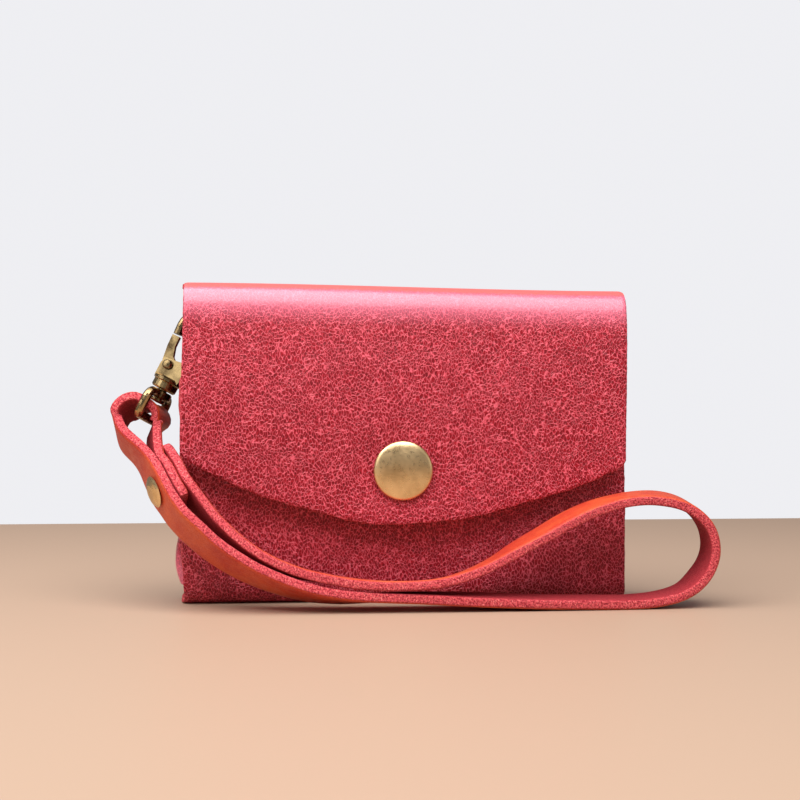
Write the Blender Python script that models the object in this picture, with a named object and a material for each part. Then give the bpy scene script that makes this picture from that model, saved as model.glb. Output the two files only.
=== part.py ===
"""A small leather wristlet wallet: a folded body without stitches, closed by a snap fastener,
with a D-ring in its left side, a swivel clasp and a riveted wrist strap.

Metres, +Z up. The origin is the middle of the wallet's flat bottom. X runs to the right as one
looks at the flap, which faces -Y. Lengths are given in millimetres and scaled by MM.
"""

import math

import bmesh
import bpy
from mathutils import Matrix, Vector

MM = 0.001
GAP = 0.3  # clearance between pieces that touch on the real wallet

# Wallet body
WIDTH = 114.0
HEIGHT = 82.0
LEATHER = 1.5
BACK_Y = 9.0
FRONT_Y = -9.0
FOLD_RADIUS = 3.5
PANEL_FOOT = 4.3
PANEL_TOP = 60.0
FLAP_INNER_Y = -13.3
FLAP_LEFT_Z = 37.0
FLAP_RIGHT_Z = 35.0
FLAP_LOWEST_Z = 20.5
FOLD_AXIS_Z = HEIGHT - 0.9 * LEATHER
BACK_FOLD_Y = BACK_Y - 0.9 * LEATHER
FRONT_FOLD_Y = -10.55

FLAP_CURVE = 1.75
PANEL_CORNER = 4.0

# Side gussets
GUSSET_FOOT = 5.0
GUSSET_REACH = 7.0
GUSSET_FRONT_TOP = 42.0
GUSSET_BACK_TOP = 57.0
GUSSET_BEND = 1.0

# Snap fastener
SNAP_X = -1.8
SNAP_Z = 34.0
CAP_RADIUS = 7.5
POST_HOLE_RADIUS = 2.5

# D-ring and its tab, which is riveted to the back panel inside the left opening
RING_BAR = Vector((-52.5, 4.6, 74.9))
RING_OUT = Vector((-0.22, -0.975, 0.0)).normalized()
RING_WIRE = 1.0
RING_HALF_HEIGHT = 4.2
RING_REACH = 8.2
TAB_WIDTH = 6.0
TAB_LEATHER = 1.2
TAB_RIVET_X = -41.0

# Clasp: its own frame has the claw's wire seat at the origin and +Z towards the claw's end
CLASP_SEAT = Vector((-53.6, -0.2, 70.7))
CLASP_AXIS = Vector((0.476, 0.05, 0.878)).normalized()
EYE_BAR_SIDE = Vector((0.25, 0.95, -0.19))
EYE_BAR_Z = -26.8
EYE_HALF_WIDTH = 7.8
CLAW_RADIUS = 3.9
CLAW_WIRE = 1.2
GATE_PIN_X = -1.3
GATE_PIN_Z = -12.3
SPRING_Z = -11.6
SPRING_RADIUS = 0.5
SPRING_WIRE = 0.14

# Wrist strap
STRAP_WIDTH = 12.0
STRAP_LEATHER = 2.5
LAYER_STEP = STRAP_LEATHER + 0.2  # from one layer's middle to the next at the rivet
RIVET_STATION = 7
RIVET_HOLE_RADIUS = 1.9
NEAR_TAIL = range(18, 9, -2)  # stations of the outer leg, at half steps, that each tail follows
FAR_TAIL = (16, 14, 12, 10, 9)

# Each station of the strap: the middle of its thickness and width, then the direction across
# its width, from the near edge to the far one.
OUTER_LEG = (
    ((-74.2, -2.1, 47.9), (-0.09, 0.96, -0.26)),
    ((-73.8, -2.9, 45.0), (-0.08, 0.93, -0.36)),
    ((-72.0, -4.4, 41.8), (0.01, 0.87, -0.50)),
    ((-69.3, -6.4, 39.2), (0.08, 0.81, -0.58)),
    ((-67.1, -8.8, 36.8), (0.04, 0.75, -0.66)),
    ((-65.3, -11.4, 34.3), (-0.03, 0.68, -0.74)),
    ((-63.6, -14.5, 31.8), (-0.09, 0.67, -0.73)),
    ((-62.3, -16.5, 29.6), (-0.13, 0.73, -0.67)),
    ((-60.7, -18.2, 27.2), (-0.12, 0.78, -0.62)),
    ((-58.9, -19.8, 24.6), (-0.13, 0.81, -0.57)),
    ((-56.5, -21.0, 21.8), (-0.15, 0.84, -0.52)),
    ((-53.7, -21.7, 19.2), (-0.21, 0.86, -0.46)),
    ((-49.6, -22.0, 15.6), (-0.20, 0.88, -0.43)),
    ((-44.2, -22.8, 12.0), (-0.15, 0.89, -0.42)),
    ((-38.6, -23.3, 9.0), (-0.13, 0.92, -0.38)),
    ((-32.2, -23.4, 6.4), (-0.11, 0.93, -0.34)),
    ((-25.2, -23.4, 4.4), (-0.07, 0.95, -0.29)),
)
LOWER_RUN = (
    ((-17.5, -23.2, 3.4), (-0.03, 0.98, -0.22)),
    ((-8.9, -23.1, 3.2), (-0.01, 0.99, -0.12)),
    ((3.3, -23.0, 2.9), (-0.01, 1.00, -0.05)),
    ((15.6, -22.9, 2.4), (-0.01, 1.00, 0.00)),
    ((30.5, -22.7, 1.7), (-0.02, 1.00, 0.00)),
    ((45.5, -22.4, 1.4), (-0.02, 1.00, 0.00)),
    ((55.5, -22.1, 1.3), (-0.03, 1.00, -0.00)),
    ((63.2, -21.8, 2.1), (-0.04, 1.00, -0.01)),
    ((68.8, -21.6, 4.0), (-0.03, 1.00, -0.02)),
    ((72.5, -21.4, 7.4), (-0.05, 1.00, -0.00)),
    ((74.8, -21.3, 11.2), (-0.01, 1.00, -0.02)),
    ((75.5, -21.2, 15.2), (0.03, 1.00, -0.02)),
    ((74.5, -21.1, 19.6), (0.05, 1.00, 0.01)),
    ((71.7, -21.1, 23.3), (0.05, 1.00, 0.06)),
    ((67.5, -21.1, 25.9), (0.03, 1.00, 0.08)),
    ((62.5, -21.1, 27.1), (0.00, 1.00, 0.08)),
)
UPPER_LEG = (
    ((57.0, -21.2, 27.2), (-0.03, 1.00, 0.04)),
    ((51.0, -21.4, 26.3), (-0.05, 1.00, 0.02)),
    ((44.6, -21.8, 24.5), (-0.07, 1.00, 0.03)),
    ((38.3, -22.1, 21.7), (-0.07, 1.00, 0.04)),
    ((32.1, -22.4, 18.2), (-0.06, 1.00, 0.02)),
    ((25.9, -22.7, 14.8), (-0.03, 1.00, -0.01)),
    ((19.9, -22.9, 11.3), (-0.00, 1.00, -0.07)),
    ((13.8, -23.1, 8.6), (0.01, 0.99, -0.11)),
    ((7.2, -23.3, 6.7), (0.02, 0.99, -0.13)),
    ((-0.3, -23.3, 6.0), (0.01, 0.99, -0.13)),
    ((-7.5, -23.2, 6.1), (0.01, 0.99, -0.12)),
    ((-14.8, -23.0, 6.7), (0.02, 0.99, -0.10)),
    ((-21.4, -22.7, 7.8), (0.04, 0.99, -0.12)),
    ((-27.4, -22.3, 9.1), (0.04, 0.99, -0.16)),
    ((-32.8, -22.0, 10.8), (0.03, 0.97, -0.22)),
    ((-37.7, -21.5, 12.9), (0.01, 0.96, -0.29)),
    ((-42.3, -20.8, 15.5), (-0.03, 0.93, -0.37)),
    ((-46.3, -19.8, 18.7), (-0.05, 0.90, -0.43)),
    ((-49.8, -18.4, 22.0), (-0.07, 0.88, -0.47)),
)
# The turn round the eye: the same, with places counted from the middle of the eye's bar.
EYE_TURN = (
    ((3.3, -0.9, -3.6), (0.04, 0.97, -0.26)),
    ((3.6, -0.2, -1.2), (0.20, 0.96, -0.19)),
    ((3.1, 0.0, 1.2), (0.25, 0.95, -0.19)),
    ((1.6, 0.0, 2.6), (0.25, 0.95, -0.19)),
    ((-0.4, 0.0, 3.6), (0.25, 0.95, -0.19)),
    ((-2.3, 0.0, 4.8), (0.25, 0.95, -0.18)),
    ((-4.6, 0.0, 4.2), (0.22, 0.96, -0.17)),
    ((-6.4, -0.1, 2.5), (0.18, 0.98, -0.14)),
)


def clear_scene():
    for obj in list(bpy.data.objects):
        bpy.data.objects.remove(obj, do_unlink=True)


def material(name, colour, roughness, metallic=0.0):
    made = bpy.data.materials.new(name)
    made.use_nodes = True
    shader = made.node_tree.nodes["Principled BSDF"]
    shader.inputs["Base Color"].default_value = (*colour, 1.0)
    shader.inputs["Roughness"].default_value = roughness
    shader.inputs["Metallic"].default_value = metallic
    return made


def grain_leather(name):
    return material(name, (0.50, 0.02, 0.04), 0.45)


def strap_leather(name):
    return material(name, (0.55, 0.06, 0.03), 0.5)


def brass(name):
    return material(name, (0.42, 0.32, 0.18), 0.35, 1.0)


def axis_empty(name, place, turn=None, parent=None):
    """An empty on a joint's axis; place is in the parent's frame, in millimetres."""
    empty = bpy.data.objects.new(name, None)
    bpy.context.scene.collection.objects.link(empty)
    frame = Matrix.Translation(Vector(place) * MM)
    empty.matrix_basis = frame @ turn.to_4x4() if turn else frame
    empty.parent = parent
    return empty


def link_body(name, mesh_data, look=None, parent=None):
    """A mesh object from a bmesh drawn in millimetres; one without a look is a hidden cutter."""
    bmesh.ops.remove_doubles(mesh_data, verts=mesh_data.verts, dist=1e-4)
    bmesh.ops.scale(mesh_data, vec=(MM, MM, MM), verts=mesh_data.verts)
    bmesh.ops.recalc_face_normals(mesh_data, faces=mesh_data.faces)
    mesh = bpy.data.meshes.new(name)
    mesh_data.to_mesh(mesh)
    mesh_data.free()
    mesh.shade_smooth()
    mesh.set_sharp_from_angle(angle=math.radians(35))
    obj = bpy.data.objects.new(name, mesh)
    bpy.context.scene.collection.objects.link(obj)
    obj.parent = parent
    if look is None:
        obj.hide_render = True
        obj.display_type = "WIRE"
    else:
        mesh.materials.append(look(name + "_material"))
    return obj


def loft(rings, ring_closed=False):
    """Skin a row of rings of points; the ends are capped unless the row runs round to its start."""
    body = bmesh.new()
    rows = [[body.verts.new(point) for point in ring] for ring in rings]
    pairs = list(zip(rows, rows[1:]))
    if ring_closed:
        pairs.append((rows[-1], rows[0]))
    else:
        body.faces.new(rows[0][::-1])
        body.faces.new(rows[-1])
    for first, second in pairs:
        for i in range(len(first)):
            j = (i + 1) % len(first)
            body.faces.new((first[i], first[j], second[j], second[i]))
    return body


def prism(outline, low, high, axis):
    """Extrude an outline of (u, v) points along X, Y or Z."""
    order = {
        "X": lambda u, v, h: (h, u, v),
        "Y": lambda u, v, h: (u, h, v),
        "Z": lambda u, v, h: (u, v, h),
    }
    place = order[axis]
    return loft([[place(u, v, h) for u, v in outline] for h in (low, high)])


def circle(radius, height, segments, frame):
    turn = 2 * math.pi / segments
    return [
        frame @ Vector((radius * math.cos(i * turn), radius * math.sin(i * turn), height))
        for i in range(segments)
    ]


def turned(profile, segments=32, frame=Matrix.Identity(4)):
    """A solid turned about the frame's Z axis, from (radius, height) points."""
    return loft([circle(max(radius, 0.02), height, segments, frame) for radius, height in profile])


def turned_ring(section, segments=32, frame=Matrix.Identity(4)):
    """A ring turned about the frame's Z axis, from a closed (radius, height) section."""
    rings = []
    for i in range(segments):
        spin = frame @ Matrix.Rotation(2 * math.pi * i / segments, 4, "Z")
        rings.append([spin @ Vector((radius, 0, height)) for radius, height in section])
    return loft(rings, ring_closed=True)


def facing_front(x, z, y=0.0):
    """A frame whose Z axis points to the front, out of the flap."""
    return Matrix.Translation((x, y, z)) @ Matrix.Rotation(math.pi / 2, 4, "X")


def smooth_path(points, steps, closed=False):
    """Points along a Catmull-Rom curve through the given ones."""
    count = len(points)
    found = []
    for i in range(count if closed else count - 1):
        if closed:
            near = [points[(i + k) % count] for k in (-1, 0, 1, 2)]
        else:
            near = [points[min(max(i + k, 0), count - 1)] for k in (-1, 0, 1, 2)]
        for step in range(steps):
            t = step / steps
            found.append(0.5 * (
                2 * near[1]
                + (near[2] - near[0]) * t
                + (2 * near[0] - 5 * near[1] + 4 * near[2] - near[3]) * t ** 2
                + (3 * near[1] - near[0] - 3 * near[2] + near[3]) * t ** 3
            ))
    if not closed:
        found.append(points[-1].copy())
    return found


def tangents(points, closed=False):
    count = len(points)
    found = []
    for i in range(count):
        before = points[(i - 1) % count] if closed else points[max(i - 1, 0)]
        after = points[(i + 1) % count] if closed else points[min(i + 1, count - 1)]
        found.append((after - before).normalized())
    return found


def wire(points, radius, side, closed=False, segments=12):
    """A round wire along points; side is a direction that no part of the path follows."""
    rings = []
    for point, along in zip(points, tangents(points, closed)):
        across = (side - side.dot(along) * along).normalized()
        up = along.cross(across)
        rings.append([
            point + radius * (math.cos(a) * across + math.sin(a) * up)
            for a in (2 * math.pi * k / segments for k in range(segments))
        ])
    return loft(rings, ring_closed=closed)


def ribbon(points, sides, width, thickness, chamfer=0.35):
    """A flat strip along points, with its width along sides and its long edges chamfered."""
    half, deep = width / 2, thickness / 2
    corners = (
        (-half + chamfer, -deep), (half - chamfer, -deep), (half, -deep + chamfer),
        (half, deep - chamfer), (half - chamfer, deep), (-half + chamfer, deep),
        (-half, deep - chamfer), (-half, -deep + chamfer),
    )
    rings = []
    for point, side, along in zip(points, sides, tangents(points)):
        across = (side - side.dot(along) * along).normalized()
        normal = along.cross(across)
        rings.append([point + a * across + n * normal for a, n in corners])
    return loft(rings)


def cut(obj, cutter, operation="DIFFERENCE"):
    modifier = obj.modifiers.new(cutter.name, "BOOLEAN")
    modifier.object = cutter
    modifier.operation = operation
    modifier.solver = "EXACT"


def helper(name, mesh_data, parent=None):
    return link_body(name, mesh_data, None, parent)


def soften_edges(obj, radius=0.25):
    """The plain bevel on a leather piece's cut edges."""
    modifier = obj.modifiers.new("softened_edges", "BEVEL")
    modifier.width = radius * MM
    modifier.segments = 2
    modifier.limit_method = "ANGLE"
    modifier.angle_limit = math.radians(40)


def arc(centre_u, centre_v, radius, start, end, steps):
    """Points on an arc, from one angle in degrees to another."""
    angles = [math.radians(start + (end - start) * i / steps) for i in range(steps + 1)]
    return [(centre_u + radius * math.cos(a), centre_v + radius * math.sin(a)) for a in angles]


def post_hole(name, low_y, high_y):
    frame = facing_front(SNAP_X, SNAP_Z)
    return helper(name, turned([(POST_HOLE_RADIUS, -high_y), (POST_HOLE_RADIUS, -low_y)], 24, frame))


def back_panel():
    half = WIDTH / 2
    top = FOLD_AXIS_Z - GAP
    inner_y = BACK_Y - LEATHER
    outline = [(inner_y, PANEL_FOOT), (BACK_Y, PANEL_FOOT), (BACK_Y, top), (inner_y, top)]
    soften_edges(link_body("back_panel", prism(outline, -half, half, "X"), grain_leather))


def front_panel():
    half = WIDTH / 2
    outline = [(-half, PANEL_FOOT), (half, PANEL_FOOT)]
    outline += arc(half - PANEL_CORNER, PANEL_TOP - PANEL_CORNER, PANEL_CORNER, 0, 90, 6)
    outline += arc(PANEL_CORNER - half, PANEL_TOP - PANEL_CORNER, PANEL_CORNER, 90, 180, 6)
    panel = link_body("front_panel", prism(outline, FRONT_Y, FRONT_Y + LEATHER, "Y"), grain_leather)
    cut(panel, post_hole("front_panel_hole", FRONT_Y - 2, FRONT_Y + 3))


def bottom_fold():
    half = WIDTH / 2
    top = PANEL_FOOT - GAP
    back_v, front_v = BACK_Y - FOLD_RADIUS, FRONT_Y + FOLD_RADIUS
    inner = FOLD_RADIUS - LEATHER
    outside = arc(back_v, FOLD_RADIUS, FOLD_RADIUS, 0, -90, 8)
    outside += arc(front_v, FOLD_RADIUS, FOLD_RADIUS, -90, -180, 8)
    inside = arc(front_v, FOLD_RADIUS, inner, 180, 270, 8)
    inside += arc(back_v, FOLD_RADIUS, inner, -90, 0, 8)
    outline = [(BACK_Y, top), *outside, (FRONT_Y, top), (FRONT_Y + LEATHER, top), *inside]
    outline.append((BACK_Y - LEATHER, top))
    link_body("bottom_fold", prism(outline, -half, half, "X"), grain_leather)


def gusset(name, side, depth):
    """A side wall whose front tab lies behind the front panel; depth counts the tabs under it."""
    wall_x = side * WIDTH / 2
    inner_x = wall_x - side * LEATHER
    tab_front = FRONT_Y + LEATHER + GAP + depth * (LEATHER + GAP)
    tab_back = tab_front + LEATHER
    outer_bend = GUSSET_BEND + LEATHER
    turn = 90 if side < 0 else -90
    bend_x = wall_x - side * outer_bend
    bend_y = tab_front + outer_bend
    start = 180 if side < 0 else 0
    outer = arc(bend_x, bend_y, outer_bend, start, start + turn, 6)
    inner = arc(bend_x, bend_y, GUSSET_BEND, start + turn, start, 6)
    wall_back = BACK_Y - LEATHER - GAP
    reach = -side * GUSSET_REACH
    outline = [(wall_x, wall_back), *outer, (reach, tab_front), (reach, tab_back), *inner]
    outline.append((inner_x, wall_back))
    wall = link_body(name, prism(outline, GUSSET_FOOT, PANEL_TOP, "Z"), grain_leather)
    front_z, back_z = GUSSET_FRONT_TOP, GUSSET_BACK_TOP
    above = [(-20, front_z), (-6.5, front_z), (-5.6, 45), (-4, 48), (0, 51), (4.5, 53)]
    above += [(wall_back + 2, back_z), (20, back_z), (20, 70), (-20, 70)]
    cut(wall, helper(name + "_slope", prism(above, -WIDTH, WIDTH, "X")))
    cut(wall, post_hole(name + "_hole", tab_front - 3, tab_back + 3))


def top_strip():
    """The strip between the two top folds; returns the empty on the back fold's axis."""
    half = WIDTH / 2
    axis = axis_empty("top_fold_back_axis", (0, BACK_FOLD_Y, FOLD_AXIS_Z))
    low = HEIGHT - LEATHER - FOLD_AXIS_Z
    high = low + LEATHER
    near = FRONT_FOLD_Y + GAP - BACK_FOLD_Y
    outline = [(near, low), (-GAP, low), (-GAP, high), (near, high)]
    soften_edges(link_body("top_strip", prism(outline, -half, half, "X"), grain_leather, axis))
    return axis


def flap_edge():
    """Points along the flap's curved lower edge, which is lowest under the snap."""
    half = WIDTH / 2
    points = []
    for i in range(25):
        x = -half + WIDTH * i / 24
        corner_z = FLAP_LEFT_Z if x < SNAP_X else FLAP_RIGHT_Z
        reach = half + SNAP_X if x < SNAP_X else half - SNAP_X
        rise = abs((x - SNAP_X) / reach) ** FLAP_CURVE
        points.append((x, FLAP_LOWEST_Z + (corner_z - FLAP_LOWEST_Z) * rise))
    return points


def flap(back_axis):
    """The front of the flap; returns the empty on the front fold's axis, which it turns on."""
    half = WIDTH / 2
    to_front = (0, FRONT_FOLD_Y - BACK_FOLD_Y, 0)
    axis = axis_empty("top_fold_front_axis", to_front, parent=back_axis)
    inner = [(FRONT_FOLD_Y + 0.1 * LEATHER, FOLD_AXIS_Z - GAP), (-12.0, 70.0), (-13.0, 58.0)]
    inner += [(FLAP_INNER_Y, 46.0), (FLAP_INNER_Y, 15.0)]
    outer = [(y - LEATHER, z) for y, z in inner[::-1]]
    outline = [(y - FRONT_FOLD_Y, z - FOLD_AXIS_Z) for y, z in inner + outer]
    piece = link_body("flap", prism(outline, -half, half, "X"), grain_leather, axis)
    lower = [(half + 2, FLAP_RIGHT_Z), (half + 2, -5), (-half - 2, -5), (-half - 2, FLAP_LEFT_Z)]
    cut(piece, helper("flap_edge_cutter", prism(lower + flap_edge(), -30, 0, "Y")))
    cut(piece, post_hole("flap_hole", -20, -10))
    return axis


def snap_cap(flap_axis, to_axis):
    """The domed cap, whose post reaches into the flap."""
    frame = to_axis @ facing_front(SNAP_X, SNAP_Z, FLAP_INNER_Y - LEATHER - GAP)
    rim = CAP_RADIUS
    foot = -LEATHER - 2 * GAP - 0.6
    profile = [(0, 1.7), (3.0, 1.65), (5.2, 1.45), (6.6, 1.05), (rim, 0.5), (rim, 0.2)]
    profile += [(rim - 0.3, 0), (2.1, 0), (2.1, foot), (0, foot)]
    link_body("snap_cap", turned(profile, 40, frame), brass, flap_axis)


def snap_socket(flap_axis, to_axis):
    frame = to_axis @ facing_front(SNAP_X, SNAP_Z, FLAP_INNER_Y + GAP)
    section = [(3.6, -3.0), (5.6, -3.0), (6.1, -2.6), (6.1, -0.8), (5.6, 0), (2.4, 0)]
    section += [(2.4, -0.9), (3.9, -0.9), (3.9, -2.2), (3.6, -2.5)]
    link_body("snap_socket", turned_ring(section, 32, frame), brass, flap_axis)


def snap_stud():
    frame = facing_front(SNAP_X, SNAP_Z, FRONT_Y - GAP)
    section = [(2.4, 0), (5.4, 0), (5.4, 0.4), (3.0, 0.6), (2.9, 1.0), (3.2, 1.5), (3.2, 2.0)]
    section += [(2.8, 2.4), (1.2, 2.4), (1.2, 1.2), (2.4, 1.2)]
    link_body("snap_stud", turned_ring(section, 32, frame), brass)


def snap_post():
    """The flanged post that holds the stud through the panel and both gussets' tabs."""
    inside_y = FRONT_Y + 3 * (LEATHER + GAP) - GAP
    reach = inside_y - FRONT_Y + 2 * GAP + 0.7
    frame = facing_front(SNAP_X, SNAP_Z, inside_y + GAP)
    profile = [(0, -0.7), (4.6, -0.7), (5.0, -0.45), (5.0, 0), (2.1, 0), (2.1, reach), (0, reach)]
    link_body("snap_post", turned(profile, 32, frame), brass)


def snap_fastener(flap_axis):
    """The cap and socket ride on the flap; the stud and post stay on the front panel."""
    to_axis = Matrix.Translation((0, -FRONT_FOLD_Y, -FOLD_AXIS_Z))
    snap_cap(flap_axis, to_axis)
    snap_socket(flap_axis, to_axis)
    snap_stud()
    snap_post()


def d_ring():
    """The ring's upright bar is on its axis; its bow points forward, and the clasp hangs on the
    lower arm."""
    across = Vector((0, 0, 1)).cross(RING_OUT)
    turn = Matrix((RING_OUT, across, Vector((0, 0, 1)))).transposed()
    axis = axis_empty("d_ring_axis", RING_BAR, turn)
    half = RING_HALF_HEIGHT
    flat = RING_REACH - half
    outline = [(0, -half * 0.5), (0, half * 0.5), (0.25, half - 0.35), (flat * 0.4, half)]
    outline += arc(flat, 0, half, 90, -90, 10)
    outline += [(flat * 0.4, -half), (0.25, -half + 0.35)]
    points = smooth_path([Vector((u, 0, v)) for u, v in outline], 2, closed=True)
    link_body("d_ring", wire(points, RING_WIRE, Vector((0, 1, 0)), closed=True), brass, axis)


def ring_tab():
    """A leather tab on the back panel's inner face, folded round the ring's bar and riveted."""
    bar_x, bar_y, middle_z = RING_BAR
    turn_radius = RING_WIRE + GAP + TAB_LEATHER / 2
    outer_y = BACK_Y - LEATHER - GAP - TAB_LEATHER / 2
    inner_y = outer_y - TAB_LEATHER - GAP
    end_x = TAB_RIVET_X + 4.5
    outer_path = [(end_x, outer_y), (TAB_RIVET_X, outer_y), (bar_x + 4.0, outer_y)]
    round_bar = arc(bar_x, bar_y, turn_radius, 90, 270, 8)
    inner_path = [(bar_x + 2.0, bar_y - turn_radius + 0.4), (bar_x + 5.2, inner_y - 0.4)]
    inner_path += [(TAB_RIVET_X - 3.0, inner_y), (TAB_RIVET_X, inner_y), (end_x, inner_y)]
    route = [Vector((x, y, middle_z)) for x, y in outer_path + round_bar + inner_path]
    points = smooth_path(route, 3)
    upright = [Vector((0, 0, 1))] * len(points)
    tab = link_body("d_ring_tab", ribbon(points, upright, TAB_WIDTH, TAB_LEATHER, 0.2), strap_leather)
    to_back = Matrix.Translation((TAB_RIVET_X, 0, middle_z)) @ Matrix.Rotation(-math.pi / 2, 4, "X")
    hole = helper("tab_rivet_hole", turned([(1.6, 2), (1.6, 12)], 16, to_back))
    cut(tab, hole)
    cut(bpy.data.objects["back_panel"], hole)
    tab_rivet(to_back, inner_y - TAB_LEATHER / 2 - GAP)


def tab_rivet(to_back, inside):
    """The tab's cap on the back and its post inside; inside is where the tab's inner face is."""
    outside = BACK_Y + GAP
    cap = [(0, outside + 1.1), (2.0, outside + 0.9), (3.0, outside + 0.4), (3.0, outside)]
    cap += [(1.2, outside), (1.2, outside - 1.2), (0, outside - 1.2)]
    link_body("tab_rivet_cap", turned(cap, 24, to_back), brass)
    post = [(0, inside - 0.7), (2.8, inside - 0.7), (2.8, inside), (1.2, inside)]
    post += [(1.2, outside - 1.2 - GAP), (0, outside - 1.2 - GAP)]
    link_body("tab_rivet_post", turned(post, 24, to_back), brass)


def clasp_frame():
    side = EYE_BAR_SIDE - EYE_BAR_SIDE.dot(CLASP_AXIS) * CLASP_AXIS
    side.normalize()
    return Matrix((side.cross(CLASP_AXIS), side, CLASP_AXIS)).transposed()


def clasp_body(hook_axis):
    """The claw, the two cheeks that hold the gate, and the collar, as one casting."""
    claw = [(3.2, -12.5), (3.7, -9.0), (CLAW_RADIUS, -5.0)]
    claw += arc(0, -1.2, CLAW_RADIUS, 0, 180, 8)
    claw += [(-CLAW_RADIUS + 0.1, -2.8), (-CLAW_RADIUS + 0.25, -4.2)]
    points = smooth_path([Vector((x, 0, z)) for x, z in claw], 3)
    body = link_body("clasp_body", wire(points, CLAW_WIRE, Vector((0, 1, 0))), brass, hook_axis)
    cheeks = [(-3.3, -15.9), (3.3, -15.9), (4.3, -13.0), (4.4, -10.8), (3.6, -10.0), (1.0, -10.4)]
    cheeks += [(-2.6, -10.9), (-3.4, -12.4)]
    cut(body, helper("clasp_cheeks", prism(cheeks, -1.95, 1.95, "Y"), hook_axis), "UNION")
    collar = [(2.9, -18.6), (3.3, -18.2), (3.3, -16.6), (3.7, -16.3), (3.7, -15.6), (3.2, -15.2)]
    cut(body, helper("clasp_collar", turned(collar, 28), hook_axis), "UNION")
    clasp_openings(body, hook_axis)
    gate_pin(hook_axis)


def gate_pin_frame():
    return Matrix.Translation((GATE_PIN_X, 0, GATE_PIN_Z)) @ Matrix.Rotation(math.pi / 2, 4, "X")


def clasp_openings(body, hook_axis):
    """The gate's slot, the swivel pin's bore, the spring's pocket and the gate pin's bore."""
    slot = [(-6.0, -14.2), (0.6, -14.2), (0.6, -9.0), (-6.0, -9.0)]
    cut(body, helper("clasp_gate_slot", prism(slot, -0.95, 0.95, "Y"), hook_axis))
    bore = turned([(1.5, -20.0), (1.5, -15.2)], 20)
    cut(body, helper("clasp_pin_bore", bore, hook_axis))
    pocket_radius = SPRING_RADIUS + 0.45
    pocket_frame = Matrix.Translation((0, 0, SPRING_Z)) @ Matrix.Rotation(math.pi / 2, 4, "Y")
    pocket = turned([(pocket_radius, 0.2), (pocket_radius, 3.0)], 16, pocket_frame)
    cut(body, helper("clasp_spring_pocket", pocket, hook_axis))
    pin_hole = turned([(0.85, -4.0), (0.85, 4.0)], 16, gate_pin_frame())
    cut(body, helper("clasp_gate_bore", pin_hole, hook_axis))


def gate_pin(hook_axis):
    profile = [(0, -1.9), (0.6, -1.9), (0.6, 2.25), (1.3, 2.25), (1.3, 2.7), (0.9, 3.05), (0, 3.15)]
    link_body("gate_pin", turned(profile, 16, gate_pin_frame()), brass, hook_axis)


def gate_spring(hook_axis):
    """The coil in the clasp's pocket that pushes the gate shut."""
    turns, steps = 4, 10
    low, high = 0.55, 2.75
    points = []
    for i in range(turns * steps + 1):
        angle = 2 * math.pi * i / steps
        along = low + (high - low) * i / (turns * steps)
        points.append(Vector((along, SPRING_RADIUS * math.cos(angle),
                              SPRING_Z + SPRING_RADIUS * math.sin(angle))))
    link_body("gate_spring", wire(points, SPRING_WIRE, Vector((1, 0, 0)), segments=6), brass, hook_axis)


def clasp_gate(hook_axis):
    """The sprung gate turns on its pin, from the claw's tip into the claw."""
    axis = axis_empty("gate_axis", (GATE_PIN_X, 0, GATE_PIN_Z), parent=hook_axis)
    outline = [(-1.2, -1.3), (0.9, -1.4), (1.4, -0.4), (1.0, 1.4), (-0.3, 2.4), (-1.2, 5.0)]
    outline += [(-1.35, 7.7), (-3.4, 7.6), (-3.2, 4.5), (-2.5, 0.5)]
    gate = link_body("clasp_gate", prism(outline, -0.7, 0.7, "Y"), brass, axis)
    across = Matrix.Rotation(math.pi / 2, 4, "X")
    bore = turned([(0.9, -2.0), (0.9, 2.0)], 16, across)
    cut(gate, helper("gate_bore", bore, axis))


def swivel_pin(hook_axis):
    """The pin through the collar; its head is inside the eye."""
    profile = [(0, -22.2), (1.7, -22.1), (2.1, -21.7), (2.1, -21.2), (1.2, -21.2), (1.2, -15.5)]
    profile.append((0, -15.5))
    link_body("swivel_pin", turned(profile, 20), brass, hook_axis)


def swivel_eye(hook_axis):
    """The D-shaped eye, which turns on the swivel pin."""
    top_z = -20.0
    axis = axis_empty("swivel_axis", (0, 0, top_z), parent=hook_axis)
    half = EYE_HALF_WIDTH
    bar = EYE_BAR_Z - top_z
    right = [(half * 0.5, 0.0), (half - 1.2, -0.3), (half - 0.1, -1.6), (half, -3.5)]
    right += [(half, bar + 1.8), (half - 0.4, bar + 0.45), (half - 1.7, bar)]
    outline = right + [(-u, v) for u, v in right[::-1]]
    points = smooth_path([Vector((0, u, v)) for u, v in outline], 3, closed=True)
    eye = link_body("swivel_eye", wire(points, 1.15, Vector((1, 0, 0)), closed=True), brass, axis)
    boss = turned([(2.6, -0.9), (2.9, -0.6), (2.9, 0.8), (2.5, 1.1)], 24)
    cut(eye, helper("eye_boss", boss, axis), "UNION")
    bore = turned([(1.5, -3.0), (1.5, 3.0)], 20)
    cut(eye, helper("eye_bore", bore, axis))


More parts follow.
